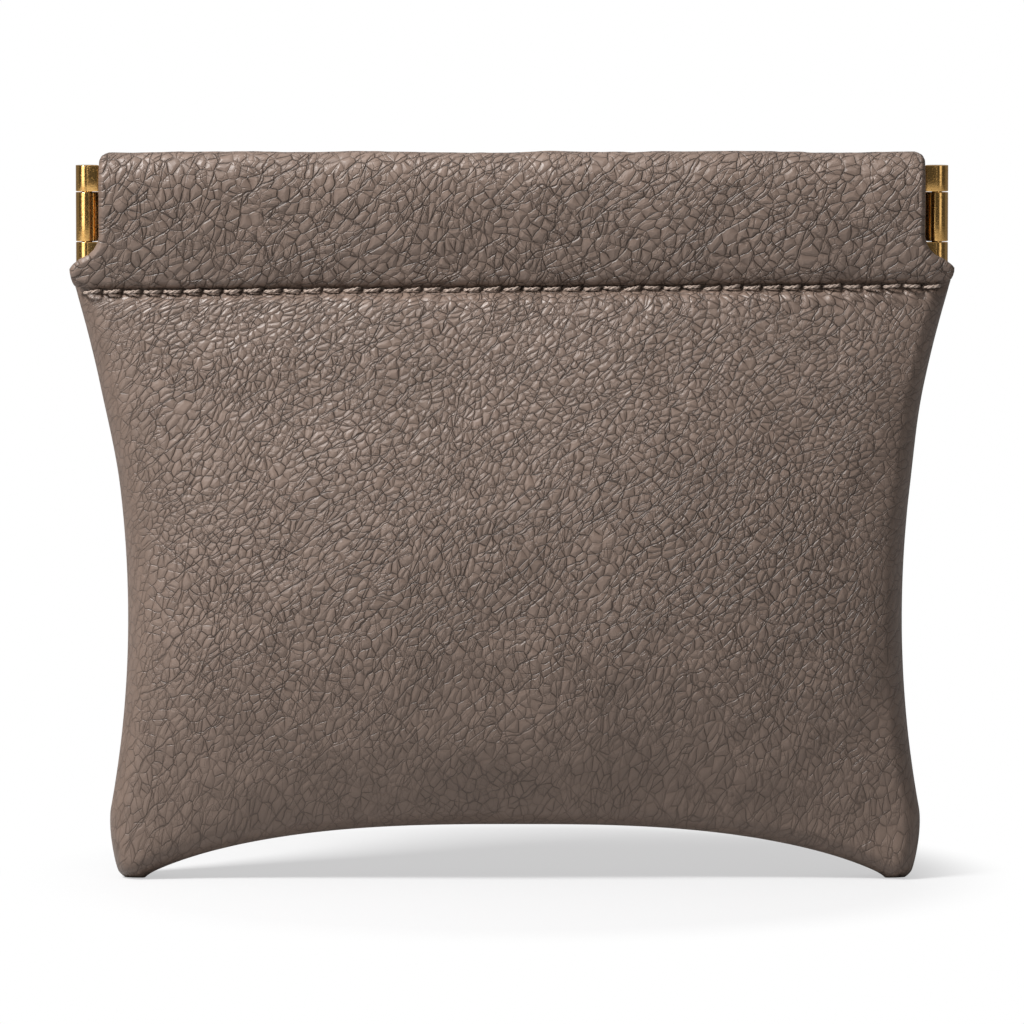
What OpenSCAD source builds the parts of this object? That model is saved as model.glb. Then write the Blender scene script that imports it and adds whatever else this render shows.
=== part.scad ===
// Squeeze coin purse: a turned leather pouch whose folded top edge holds a sprung, hinged frame.
// X runs along the mouth, Y from the front to the back, and Z up.
// The purse stands on its two bottom corners, and the origin lies between them on that surface.
// The strips and their casing are cut where they bend: a middle, two spans and two ends per side.

/* [Spring frame] */
// Distance between the two hinge pins
pin_spacing = 99.2; // [90:0.2:110]
// Height of the spring strips and of the hinges
strip_h = 12; // [10:0.5:13]
// Thickness of a spring strip
strip_t = 0.35; // [0.2:0.05:0.5]
// Width of the part in the middle that stays straight
middle_w = 16.3; // [8:0.1:30]
// Length of a hinge leaf, from the pin's axis
leaf_l = 7.6; // [6.5:0.1:12]

/* [Hinges] */
// Outer diameter of a hinge barrel
barrel_d = 2.6; // [2.4:0.1:3.2]
// Diameter of a hinge pin
pin_d = 1.2; // [0.8:0.1:1.4]
// Thickness of a hinge leaf
leaf_t = 0.4; // [0.3:0.05:0.5]
// Height of the rear leaf's knuckle, between the front leaf's two
knuckle_h = 5.7; // [4:0.1:7]
// Gap between two knuckles
knuckle_gap = 0.12; // [0.08:0.02:0.3]
// Radial play of the pin in the rear leaf's knuckle
pin_play = 0.25; // [0.2:0.01:0.3]
// Play between a barrel and the sheet cut away beside it
barrel_play = 0.35; // [0.3:0.05:0.5]
// Chamfer at a barrel's two ends
barrel_chamfer = 0.2; // [0.1:0.05:0.3]

/* [Rivets] */
// Diameter of a rivet
rivet_d = 1.3; // [1:0.1:1.6]
// Distance between the two rivets of a leaf
rivet_spacing = 6; // [4:0.5:7]
// Distance of the rivets from the pin's axis
rivet_x = 4.9; // [4.6:0.1:5.4]

/* [Leather] */
// Thickness of the outer leather
leather_t = 1; // [0.8:0.05:1.2]
// Thickness of the hem turned down inside, which is pared thinner
hem_t = 0.8; // [0.6:0.05:0.82]
// Width of the casing between its two open ends
casing_w = 96; // [92:0.2:96.4]
// Height of the casing, from the stitch line to the fold
casing_h = 16.1; // [15.6:0.1:18]
// Height of the rounded fold on top of the casing
fold_h = 4; // [2.5:0.1:5]
// How far the casing swells outwards between the stitch line and the fold
casing_swell = 1.8; // [1:0.1:2.5]
// Distance of the strips below the top of the fold
strip_drop = 1.5; // [1.4:0.05:2]
// Width of the purse across its shoulders
shoulder_w = 103; // [102:0.2:106]
// Height of the shoulders above the stitch line
shoulder_h = 5.7; // [5:0.1:6.5]

/* [Pouch] */
// Height of the stitch line above the surface that the purse stands on
pouch_h = 69; // [55:0.5:85]
// Width of the pouch at the stitch line
pouch_w = 102; // [100:0.2:102.4]
// Width of the pouch at its waist
waist_w = 90.6; // [84:0.2:96]
// Height of the waist
waist_z = 31; // [24:0.5:38]
// Width that the two sides run to at the bottom, before the corners are rounded
base_w = 98.4; // [94:0.2:102]
// Height of a bottom corner's rounding
corner_h = 10.4; // [7:0.2:12]
// How far a bottom corner is drawn in
corner_in = 3.5; // [3:0.1:5]
// How far the corner's last millimetre is rounded
toe_in = 0.5; // [0.2:0.1:1]
// Half the width of the arch between the corners
arch_x = 44.3; // [38:0.1:44.6]
// Height of the arch in the middle
arch_h = 6.3; // [4:0.1:9]
// How much lower the arch is drawn beside a corner, which makes the flat that it stands on
foot = 0.35; // [0.2:0.05:1]
// How far the belly stands out beyond the pouch's edge
belly = 7.6; // [5:0.1:11]
// Half the thickness of the turned edge
edge_t = 2; // [1.6:0.1:2.6]
// Half the depth of the mouth just under the stitch line
mouth_t = 3.4; // [3.2:0.1:4.2]
// Half the depth of a bottom corner, where the purse stands
corner_t = 3.6; // [3:0.1:4.5]
// Width of the seam allowance turned inside the edge
seam_w = 4; // [3.2:0.1:5]

/* [Thread] */
// Distance between two stitches under the casing
stitch_pitch = 2.33; // [2:0.01:3]
// Length of one such stitch
stitch_l = 1.7; // [1.2:0.1:1.9]
// Thickness of the thread
thread_d = 0.4; // [0.25:0.05:0.5]
// Distance between two stitches of the hidden seam round the pouch
seam_pitch = 3.2; // [2.6:0.1:4]

/* [Hidden] */

// Clearance between pieces that lie against each other
fit = 0.05;
// Gap between the pouch and the casing, which are cut apart at the stitch line
cut_gap = 0.3;
// Radial clearance of a pin or rivet that is pressed into its hole
press_fit = 0.01;

leather_colour = [0.46, 0.39, 0.36];
thread_colour = [0.56, 0.49, 0.45];
brass_colour = [0.80, 0.62, 0.30];
steel_colour = [0.72, 0.72, 0.74];

top_z = pouch_h + casing_h;
casing_z = pouch_h + cut_gap;
strip_top = top_z - strip_drop;
strip_z = strip_top - strip_h;
pin_x = pin_spacing / 2;
middle_x = middle_w / 2;
leaf_x = pin_x - leaf_l;
casing_x = casing_w / 2;

// Layers of one side, measured from the plane between the two sides outwards
barrel_r = barrel_d / 2;
leaf_in = barrel_r - leaf_t;
strip_out = barrel_r + strip_t;
leather_in = strip_out + fit;
leather_out = leather_in + leather_t;
hem_out = fit + hem_t;

// Every piece of the frame and casing is drawn for the front right, facing -Y.
// It is turned to the rear by a mirror in Y, and to the left by a mirror in X.
module rear() mirror([0, 1, 0]) children();
module left() mirror([1, 0, 0]) children();

function reversed(list) = [for (i = [len(list) - 1 : -1 : 0]) list[i]];

// Turns a drawing in Y and Z so that it is extruded along X from x0 to x1
module along_x(x0, x1) {
  translate([x0, 0, 0]) rotate([90, 0, 90]) linear_extrude(x1 - x0) children();
}

// Half an ellipse that closes the casing on top, from y0 round to y1, h high
function fold_points(y0, y1, h) = [for (a = [0 : 10 : 180])
  [-(y0 + y1) / 2 + (y1 - y0) / 2 * cos(a), top_z - fold_h + h * sin(a)]];

// The front of the casing, which swells out as it rises from z0 to the fold, back from its face
function swell_points(y, z0) = [for (k = [0 : 0.125 : 0.875])
  [-(y + casing_swell * sin(90 * k)), z0 + k * (top_z - fold_h - z0)]];

// Cross-section of the casing: folded leather round a hollow for the strip, facing -Y
module casing_section() {
  difference() {
    polygon(concat([[-fit, casing_z]], fold_points(fit, leather_out + casing_swell, fold_h),
      reversed(swell_points(leather_out, casing_z))));
    polygon(concat([[-hem_out, strip_z - fit]],
      fold_points(hem_out, leather_in + casing_swell, fold_h - leather_t),
      reversed(swell_points(leather_in, strip_z - fit))));
    translate([-leather_in, strip_z - fit])
      square([leather_in - hem_out, strip_h + 2 * fit]);
  }
}

module casing_middle() color(leather_colour) along_x(-middle_x, middle_x) casing_section();

module casing_span() color(leather_colour) along_x(middle_x, leaf_x) casing_section();

// The shoulder beside the casing's open end, where the pouch is wider than the casing
module shoulder() {
  tip_x = shoulder_w / 2;
  reach = tip_x - casing_x;
  rise = shoulder_h - cut_gap;
  translate([0, -leather_in, casing_z]) rotate([90, 0, 0]) linear_extrude(leather_t)
    polygon([
      [casing_x, 0], [pouch_w / 2, 0], [tip_x - 0.09 * reach, 0.22 * rise], [tip_x, 0.39 * rise],
      [tip_x - 0.12 * reach, 0.48 * rise], [tip_x - 0.37 * reach, 0.57 * rise],
      [tip_x - 0.63 * reach, 0.65 * rise], [tip_x - 0.8 * reach, 0.78 * rise], [casing_x, rise]]);
}

module casing_end() color(leather_colour) {
  along_x(leaf_x, casing_x) casing_section();
  shoulder();
}

module strip(x0, x1) {
  translate([x0, -strip_out, strip_z]) cube([x1 - x0, strip_t, strip_h]);
}

module strip_middle() color(steel_colour) strip(-middle_x, middle_x);

module strip_span() color(steel_colour) strip(middle_x, leaf_x);

// Runs one cylinder through every rivet place of a leaf, from y0 to y1
module at_rivets(r, y0, y1) {
  for (s = [-1, 1])
    translate([pin_x - rivet_x, y1, strip_z + strip_h / 2 + s * rivet_spacing / 2])
      rotate([90, 0, 0]) cylinder(h = y1 - y0, r = r, $fn = 32);
}

// Nearest the sheet metal of a leaf comes to the barrel that it goes round
sheet_x = pin_x - barrel_r - barrel_play;

module strip_end() color(steel_colour) difference() {
  strip(leaf_x, sheet_x - barrel_play);
  at_rivets(rivet_d / 2 + press_fit, -strip_out - 1, 0);
}

module rivets() color(steel_colour) at_rivets(rivet_d / 2, -strip_out - fit / 2, -leaf_in);

// One rolled knuckle round the pin's axis, with its tongue of sheet back to the leaf
module knuckle(z0, h) {
  translate([pin_x, 0, z0]) rotate_extrude($fn = 48) polygon([
    [0, 0], [barrel_r - barrel_chamfer, 0], [barrel_r, barrel_chamfer],
    [barrel_r, h - barrel_chamfer], [barrel_r - barrel_chamfer, h], [0, h]]);
  translate([sheet_x - fit, -barrel_r, z0]) cube([pin_x - sheet_x + fit, leaf_t, h]);
}

// The flat sheet of a leaf
module leaf_sheet() {
  difference() {
    translate([leaf_x, -barrel_r, strip_z]) cube([sheet_x - leaf_x, leaf_t, strip_h]);
    at_rivets(rivet_d / 2 + press_fit, -strip_out - 1, 0);
  }
}

// Heights of the three knuckles, from the lowest up
end_knuckle_h = (strip_h - knuckle_h) / 2 - knuckle_gap;
middle_knuckle_z = strip_z + (strip_h - knuckle_h) / 2;

module front_leaf() color(brass_colour) difference() {
  union() {
    leaf_sheet();
    knuckle(strip_z, end_knuckle_h);
    knuckle(strip_top - end_knuckle_h, end_knuckle_h);
  }
  translate([pin_x, 0, strip_z - 1]) cylinder(h = strip_h + 2, r = pin_d / 2 + press_fit, $fn = 32);
}

module rear_leaf() color(brass_colour) difference() {
  union() {
    leaf_sheet();
    knuckle(middle_knuckle_z, knuckle_h);
  }
  translate([pin_x, 0, strip_z - 1]) cylinder(h = strip_h + 2, r = pin_d / 2 + pin_play, $fn = 32);
}

module hinge_pin() color(brass_colour)
  translate([pin_x, 0, strip_z]) cylinder(h = strip_h, r = pin_d / 2, $fn = 32);

// Stitches under the casing whose middle lies between x0 and x1, one node's share of the row
module hem_stitches(x0, x1) color(thread_colour) {
  last = floor(pouch_w / 2 / stitch_pitch - 0.5);
  swell = casing_swell * sin(90 * thread_d / (top_z - fold_h - casing_z));
  for (i = [-last : last]) {
    x = i * stitch_pitch;
    if (x > x0 && x <= x1)
      translate([x - stitch_l / 2, -leather_out - swell - fit - thread_d / 2, casing_z + thread_d / 2])
        rotate([0, 90, 0]) cylinder(h = stitch_l, d = thread_d, $fn = 8);
  }
}

module hem_stitches_middle() hem_stitches(-middle_x, middle_x);
module hem_stitches_span() hem_stitches(middle_x, leaf_x);
module hem_stitches_end() hem_stitches(leaf_x, pouch_w / 2);

// Outline of the pouch: half its width at height z, and the height of its lower edge at x
function corner_cut(z) = corner_in * pow(max(0, 1 - z / corner_h), 1.6) + toe_in * pow(max(0, 1 - z), 2);
function waist_curve(z) = z > waist_z
  ? (pouch_w - waist_w) / 2 * pow((z - waist_z) / (pouch_h - waist_z), 2)
  : (base_w - waist_w) / 2 * pow((waist_z - z) / waist_z, 2);
function half_w(z) = waist_w / 2 + waist_curve(z) - corner_cut(z);
function base_z(x) = max(0, arch_h * (1 - pow(abs(x) / arch_x, 2.8)) - foot * pow(abs(x) / arch_x, 12));

// Half the depth of the pouch: u runs from -1 to 1 across it, and v from 0 at its lower edge to 1.
function across(u) = pow(max(0, 1 - pow(abs(u), 2.2)), 0.55);
function upwards(v) = pow(max(0, sin(180 * pow(v, 0.85))), 0.75);
function corner_swell(u, v) = exp(-pow((1 - abs(u)) / 0.14, 2) - pow(v / 0.07, 2));
function depth(u, v) = edge_t + belly * across(u) * upwards(v)
  + (mouth_t - edge_t) * pow(v, 5) * across(u) + (corner_t - edge_t) * corner_swell(u, v);

// Points of one panel, on its outer face (inside = 0) and its inner face (inside = 1)
columns = 40;
rows = 22;
panel_top = pouch_h;
function share(d) = max(0, min(1, 2 * (d - seam_w) / seam_w));
function panel_point(i, j, inside) =
  let (
    u = sin(90 * (2 * i / columns - 1)),
    v = (1 - cos(180 * j / rows)) / 2,
    low = base_z(u * half_w(0)),
    z = low + v * (panel_top - low),
    x = u * half_w(z),
    d = depth(u, v),
    open = share(min((1 - abs(u)) * half_w(z), z - low)),
    y = inside ? fit + open * (d - leather_t - fit) : d
  )
  [x, -y, z];

module panel() {
  n = (columns + 1) * (rows + 1);
  points = [for (k = [0, 1]) for (j = [0 : rows]) for (i = [0 : columns]) panel_point(i, j, k)];
  function at(i, j, k) = k * n + j * (columns + 1) + i;
  outer = [for (j = [0 : rows - 1]) for (i = [0 : columns - 1]) each [
    [at(i, j, 0), at(i, j + 1, 0), at(i + 1, j + 1, 0)],
    [at(i, j, 0), at(i + 1, j + 1, 0), at(i + 1, j, 0)]]];
  inner = [for (j = [0 : rows - 1]) for (i = [0 : columns - 1]) each [
    [at(i, j, 1), at(i + 1, j + 1, 1), at(i, j + 1, 1)],
    [at(i, j, 1), at(i + 1, j, 1), at(i + 1, j + 1, 1)]]];
  ends = [for (i = [0 : columns - 1]) each [
    [at(i, 0, 0), at(i + 1, 0, 0), at(i + 1, 0, 1)], [at(i, 0, 0), at(i + 1, 0, 1), at(i, 0, 1)],
    [at(i, rows, 0), at(i + 1, rows, 1), at(i + 1, rows, 0)],
    [at(i, rows, 0), at(i, rows, 1), at(i + 1, rows, 1)]]];
  sides = [for (j = [0 : rows - 1]) each [
    [at(0, j, 0), at(0, j + 1, 1), at(0, j + 1, 0)], [at(0, j, 0), at(0, j, 1), at(0, j + 1, 1)],
    [at(columns, j, 0), at(columns, j + 1, 0), at(columns, j + 1, 1)],
    [at(columns, j, 0), at(columns, j + 1, 1), at(columns, j, 1)]]];
  color(leather_colour) polyhedron(points, concat(outer, inner, ends, sides));
}

// Stitches that hold the two panels together, through the middle of the seam allowance
module seam_stitches() color(thread_colour) {
  reach = edge_t / 2;
  inset = seam_w / 2;
  side_steps = floor((pouch_h - corner_h) / seam_pitch);
  arch_steps = floor((arch_x - corner_h) / seam_pitch);
  for (s = [-1, 1]) for (i = [0 : side_steps]) {
    z = corner_h + i * seam_pitch;
    if (z < pouch_h - inset)
      translate([s * (half_w(z) - inset), reach, z])
        rotate([90, 0, 0]) cylinder(h = 2 * reach, d = thread_d, $fn = 8);
  }
  for (i = [-arch_steps : arch_steps]) {
    x = i * seam_pitch;
    translate([x, reach, base_z(x) + inset])
      rotate([90, 0, 0]) cylinder(h = 2 * reach, d = thread_d, $fn = 8);
  }
}

panel();  // front_panel
rear() panel();  // rear_panel
seam_stitches();

casing_middle();  // front_casing_middle
left() casing_span();  // front_casing_left
casing_span();  // front_casing_right
left() casing_end();  // front_casing_left_end
casing_end();  // front_casing_right_end
rear() casing_middle();  // rear_casing_middle
rear() left() casing_span();  // rear_casing_left
rear() casing_span();  // rear_casing_right
rear() left() casing_end();  // rear_casing_left_end
rear() casing_end();  // rear_casing_right_end

strip_middle();  // front_spring_strip_middle
left() strip_span();  // front_spring_strip_left
strip_span();  // front_spring_strip_right
left() strip_end();  // front_spring_strip_left_end
strip_end();  // front_spring_strip_right_end
rear() strip_middle();  // rear_spring_strip_middle
rear() left() strip_span();  // rear_spring_strip_left
rear() strip_span();  // rear_spring_strip_right
rear() left() strip_end();  // rear_spring_strip_left_end
rear() strip_end();  // rear_spring_strip_right_end

left() front_leaf();  // front_left_hinge_leaf
front_leaf();  // front_right_hinge_leaf
rear() left() rear_leaf();  // rear_left_hinge_leaf
rear() rear_leaf();  // rear_right_hinge_leaf
left() hinge_pin();  // left_hinge_pin
hinge_pin();  // right_hinge_pin
left() rivets();  // front_left_rivets
rivets();  // front_right_rivets
rear() left() rivets();  // rear_left_rivets
rear() rivets();  // rear_right_rivets

hem_stitches_middle();  // front_hem_stitches_middle
left() hem_stitches_span();  // front_hem_stitches_left
hem_stitches_span();  // front_hem_stitches_right
left() hem_stitches_end();  // front_hem_stitches_left_end
hem_stitches_end();  // front_hem_stitches_right_end
rear() hem_stitches_middle();  // rear_hem_stitches_middle
rear() left() hem_stitches_span();  // rear_hem_stitches_left
rear() hem_stitches_span();  // rear_hem_stitches_right
rear() left() hem_stitches_end();  // rear_hem_stitches_left_end
rear() hem_stitches_end();  // rear_hem_stitches_right_end
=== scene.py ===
"""Squeeze coin purse: pebbled leather, twisted thread and polished brass hinges.

Lengths are in millimetres and are scaled to metres where a mesh is made. On each side of the purse
depth is measured outwards from the plane between front and rear, so one shape serves both.
"""
import math

import bpy
import numpy as np
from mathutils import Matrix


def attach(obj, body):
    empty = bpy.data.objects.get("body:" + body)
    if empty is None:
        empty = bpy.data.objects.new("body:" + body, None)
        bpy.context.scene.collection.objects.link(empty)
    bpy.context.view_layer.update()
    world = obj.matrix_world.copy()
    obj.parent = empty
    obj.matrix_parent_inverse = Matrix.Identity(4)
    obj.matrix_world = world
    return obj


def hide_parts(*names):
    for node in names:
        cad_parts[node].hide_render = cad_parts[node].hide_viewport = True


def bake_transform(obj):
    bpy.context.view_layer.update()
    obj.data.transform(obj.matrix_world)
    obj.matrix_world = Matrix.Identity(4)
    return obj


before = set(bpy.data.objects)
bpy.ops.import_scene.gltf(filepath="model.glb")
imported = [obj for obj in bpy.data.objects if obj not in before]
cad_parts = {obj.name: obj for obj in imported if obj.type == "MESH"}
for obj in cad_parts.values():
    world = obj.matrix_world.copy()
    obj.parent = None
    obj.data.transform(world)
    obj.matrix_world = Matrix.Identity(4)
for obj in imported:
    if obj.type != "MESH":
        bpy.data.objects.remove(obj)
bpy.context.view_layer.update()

MM = 0.001

# Sizes repeated from the part's source. MIDDLE_X and LEAF_X are the cuts between middle, span and
# end, and the two turns are those of the bends at these cuts when the mouth is fully open.
MIDDLE_X = 8.15
LEAF_X = 42.0
CASING_X = 48.0
STITCH_Z = 69.15
SWELL_TOP = 81.1
TOP_Z = 85.1
OPENING = 15.0
SPAN_TURN = math.radians(18.73)
END_TURN = math.radians(13.27)
STITCH_PITCH = 2.33
STRIP_LOW, STRIP_TOP = 71.6, 83.6
PIN_X, BARREL_R = 49.6, 1.3

FACES = (("front", -1), ("rear", 1))
STRETCHES = ("middle", "left", "right", "left_end", "right_end")

# Camera: the picture is 1024 pixels wide, at 8.54 pixels to the millimetre

PICTURE_WIDTH = 1024 / 8.54
AIM_Z = 43.0
CAMERA_LIFT = math.radians(4.5)


def add_object(name, data):
    """A new object of the scene that shows the data."""
    made = bpy.data.objects.new(name, data)
    bpy.context.scene.collection.objects.link(made)
    return made


def make_camera():
    """A long lens a little above the purse: a millimetre is as many pixels as in the photograph."""
    data = bpy.data.cameras.new("camera")
    data.lens = 260
    data.sensor_width = 36
    data.clip_start = 0.01
    camera = add_object("camera", data)
    away = PICTURE_WIDTH * data.lens / data.sensor_width * MM
    camera.location = (0, -away * math.cos(CAMERA_LIFT), AIM_Z * MM + away * math.sin(CAMERA_LIFT))
    camera.rotation_euler = (math.pi / 2 - CAMERA_LIFT, 0, 0)
    bpy.context.scene.camera = camera


make_camera()

# Materials


class Shade:
    """A socket of a material's node tree. Operators on it add the Math nodes of an expression."""

    def __init__(self, tree, socket=None):
        self.tree, self.socket = tree, socket

    def node(self, kind, settings=None, inputs=None, output=0):
        """Adds a node: its type, its settings, which are set first, and its sockets' contents."""
        made = self.tree.nodes.new("ShaderNode" + kind)
        for name, value in (settings or {}).items():
            setattr(made, name, value)
        for name, value in (inputs or {}).items():
            if isinstance(value, Shade):
                self.tree.links.new(value.socket, made.inputs[name])
            else:
                made.inputs[name].default_value = value
        return Shade(self.tree, made.outputs[output])

    def math(self, operation, *values):
        return self.node("Math", {"operation": operation}, dict(enumerate(values)))

    def __add__(self, other):
        return self.math("ADD", self, other)

    __radd__ = __add__

    def __sub__(self, other):
        return self.math("SUBTRACT", self, other)

    def __rsub__(self, other):
        return self.math("SUBTRACT", other, self)

    def __mul__(self, other):
        return self.math("MULTIPLY", self, other)

    def between(self, low, high, start=0.0, end=1.0):
        """Eases from start at low to end at high, and stays there beyond them."""
        return self.node("MapRange", {"interpolation_type": "SMOOTHSTEP"},
                         {"Value": self, "From Min": low, "From Max": high,
                          "To Min": start, "To Max": end})

    def mix(self, first, second):
        """first where this is 0 and second where it is 1, as colours."""
        return self.node("Mix", {"data_type": "RGBA"}, {0: self, 6: first, 7: second}, output=2)

    def vector(self, operation, other):
        return self.node("VectorMath", {"operation": operation}, {0: self, 1: other})

    def scaled(self, factor):
        return self.node("VectorMath", {"operation": "SCALE"}, {0: self, "Scale": factor})


def make_material(name, **constants):
    """An empty Principled material with its constant sockets set, and a Shade of its node tree."""
    material = bpy.data.materials.new(name)
    material.use_nodes = True
    tree = material.node_tree
    surface = tree.nodes["Principled BSDF"]
    for socket, value in constants.items():
        surface.inputs[socket.replace("_", " ")].default_value = value
    return material, Shade(tree), surface


def connect(surface, **links):
    for socket, value in links.items():
        value.tree.links.new(value.socket, surface.inputs[socket.replace("_", " ")])


def colour(red, green, blue):
    return (red, green, blue, 1)


def attribute(shade, name, output):
    return shade.node("Attribute", {"attribute_name": name}, output=output)


def noise(shade, place, scale, detail=2.0, output=0):
    return shade.node("TexNoise", {"noise_dimensions": "3D"},
                      {"Vector": place, "Scale": scale, "Detail": detail}, output=output)


def noise_vector(shade, place, scale, size):
    """A random shift that varies over the sheet, up to about half of size each way."""
    coloured = noise(shade, place, scale, 1.0, output=1)
    return coloured.vector("SUBTRACT", (0.5, 0.5, 0.5)).scaled(size)


def cells(shade, place, scale, feature="DISTANCE_TO_EDGE", output=0):
    """Irregular cells in the sheet's plane: a point's distance from the nearest border, or more."""
    return shade.node("TexVoronoi", {"voronoi_dimensions": "2D", "feature": feature},
                      {"Vector": place, "Scale": scale}, output=output)


def turned(shade, place, angle, along, across):
    """The sheet's coordinates turned by angle, and squeezed along and across that direction."""
    straight = shade.node("Mapping", {"vector_type": "POINT"},
                          {"Vector": place, "Rotation": (0, 0, -math.radians(angle))})
    return shade.node("Mapping", {"vector_type": "POINT"},
                      {"Vector": straight, "Scale": (along, across, 1)})


def make_bump(shade, height, distance, strength):
    return shade.node("Bump", {}, {"Height": height, "Distance": distance, "Strength": strength})


CELLS_PER_MM, FINE_CELLS_PER_MM = 1.03, 1.8
GRAIN_HEIGHT = 0.0002

# The long creases: the angle of each family, its spacing in millimetres and its strength
CREASES = ((35, 1.6, 0.85), (63, 1.8, 0.75), (-40, 2.3, 0.6), (100, 2.6, 0.45))


def leather_material():
    """Pebbled leather: cells of about 1 mm, drawn out along the upward diagonal and creased.

    Two noises bend the sheet's coordinates: a slow one, so that the grain wanders, and a quick one,
    so that no border is straight. The cut is 1 on the skin and less on the cells' borders, on those
    of a finer net, and on long creases, each of these faded in and out by a noise. The height is
    the cut, a dome for each cell and a fine nap, and the attribute relief lowers all three where
    the leather is pressed flat. The colour is darkened in the cuts, which is painted shade, and
    made palest on the domes' tops, which is a painted highlight; it is also varied by a cloud,
    by the nap and from cell to cell. The raised grain is a little glossier than the cuts, and the
    nap varies the gloss.
    """
    material, shade, surface = make_material("pebbled_leather", IOR=1.45, Specular_IOR_Level=0.5)
    place = attribute(shade, "sheet", 1)
    relief = attribute(shade, "relief", 2)

    drift = noise_vector(shade, place, 0.06, 5.0)
    wobble = noise_vector(shade, place, 0.8, 0.42)
    bent = place.vector("ADD", drift).vector("ADD", wobble)

    drawn = turned(shade, bent, 46, 0.84, 1.16)
    edge = cells(shade, drawn, CELLS_PER_MM)
    dome = edge.between(0.0, 0.45)
    share = noise(shade, place, 0.9, 0.0).between(0.35, 0.6, 0.3, 0.9)
    fine_edge = cells(shade, turned(shade, bent, 62, 0.85, 1.05), FINE_CELLS_PER_MM)
    fine_share = noise(shade, place, 0.4, 1.0).between(0.4, 0.6, 0.0, 0.4)

    def line(field, width, strength):
        """1 everywhere but on the lines where the field is 0, and less by strength on them."""
        return 1 - (1 - field.between(0.0, width)) * strength

    def crease(angle, spacing, strength):
        """Thin lines at that angle, strayed from even spacing by one noise and faded by another."""
        lying = turned(shade, bent, angle, 1.0, 1.0)
        stray = noise(shade, lying.vector("MULTIPLY", (0.07, 0.11, 1)), 1.0, 1.0) * 2.4
        across = shade.node("SeparateXYZ", {}, {"Vector": lying}, output=1) * (1 / spacing)
        strayed = across + stray
        there = noise(shade, lying.vector("MULTIPLY", (0.2, 0.7, 1)), 1.0, 0.0).between(
            0.42, 0.52, 0.0, strength)
        return line(strayed.math("PINGPONG", strayed, 0.5) * spacing, 0.105, there)

    nap = noise(shade, place, 5.0, 2.0)
    cut = line(edge, 0.08, share) * line(fine_edge, 0.1, fine_share)
    for family in CREASES:
        cut = cut * crease(*family)
    height = cut * 0.6 + dome * 0.4 + nap * 0.07

    one_a_cell = cells(shade, drawn, CELLS_PER_MM, "F1", output=1)
    tone = shade.node("SeparateColor", {}, {"Color": one_a_cell})
    cloud = noise(shade, place, 0.07, 2.0)
    # Painted shade: the colour is darkened in the cuts, less where the leather is pressed flat
    depth = 1 - (1 - cut) * (relief * 0.5 + 0.5)
    skin = depth.mix(colour(0.038, 0.024, 0.017), colour(0.136, 0.095, 0.074))
    # Painted highlight: the tops of the domes are made paler
    skin = (depth * dome * relief * 0.6).mix(skin, colour(0.18, 0.131, 0.106))
    shaded = (tone * 0.3 + cloud * 0.5 + nap * 0.2).between(0.25, 0.75).mix(
        colour(0.88, 0.875, 0.87), colour(1.08, 1.08, 1.08))
    skin = shade.node("Mix", {"data_type": "RGBA", "blend_type": "MULTIPLY"},
                      {0: 1.0, 6: skin, 7: shaded}, output=2)
    connect(surface, Base_Color=skin, Roughness=0.5 - depth * 0.08 + nap * 0.06,
            Normal=make_bump(shade, height * relief, GRAIN_HEIGHT, 1.0))
    return material


def flesh_material():
    """The unlined inner face of the leather: rough and matt, a little paler than the grain side.

    One noise is the nap, which gives the bump and most of the colour, and a slower one clouds it.
    """
    material, shade, surface = make_material("leather_flesh_side", IOR=1.4, Specular_IOR_Level=0.2)
    place = attribute(shade, "sheet", 1)
    nap = noise(shade, place, 5.0, 5.0)
    cloud = noise(shade, place, 0.3, 3.0)
    skin = (nap * 0.6 + cloud * 0.4).between(0.3, 0.7).mix(
        colour(0.15, 0.108, 0.086), colour(0.245, 0.187, 0.155))
    connect(surface, Base_Color=skin, Roughness=nap * 0.1 + 0.82,
            Normal=make_bump(shade, nap, 0.00012, 0.8))
    return material


def thread_material():
    """Waxed thread: fine fibres along the ply, which the attribute sheet gives as (along, round).

    A noise drawn out along the ply gives the bump, the colour and, where it is pale, more gloss.
    """
    material, shade, surface = make_material("waxed_thread", Specular_IOR_Level=0.35)
    place = attribute(shade, "sheet", 1)
    fibre = noise(shade, turned(shade, place, 0, 0.6, 9.0), 1.0, 2.0)
    shaded = fibre.between(0.3, 0.7)
    skin = shaded.mix(colour(0.17, 0.125, 0.1), colour(0.4, 0.32, 0.27))
    connect(surface, Base_Color=skin, Roughness=shaded * -0.1 + 0.6,
            Normal=make_bump(shade, fibre, 0.00004, 0.9))
    return material


def brass_material():
    """Polished gold-coloured brass, finely stippled.

    The stipple is a noise and gives the bump. Its highest spots are pits, which are browner and
    duller, and a slower noise clouds both the colour and the gloss.
    """
    material, shade, surface = make_material("polished_brass", Metallic=1.0)
    place = shade.node("TexCoord", {}, output=3)
    stipple = noise(shade, place, 5200, 2.0)
    cloud = noise(shade, place, 520, 2.0)
    pitted = stipple.between(0.54, 0.68)
    skin = (pitted * 0.4 + cloud * 0.35).mix(colour(0.94, 0.57, 0.2), colour(0.6, 0.3, 0.075))
    connect(surface, Base_Color=skin, Roughness=0.13 + pitted * 0.14 + cloud * 0.06,
            Normal=make_bump(shade, stipple, 0.00001, 0.55))
    return material


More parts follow.
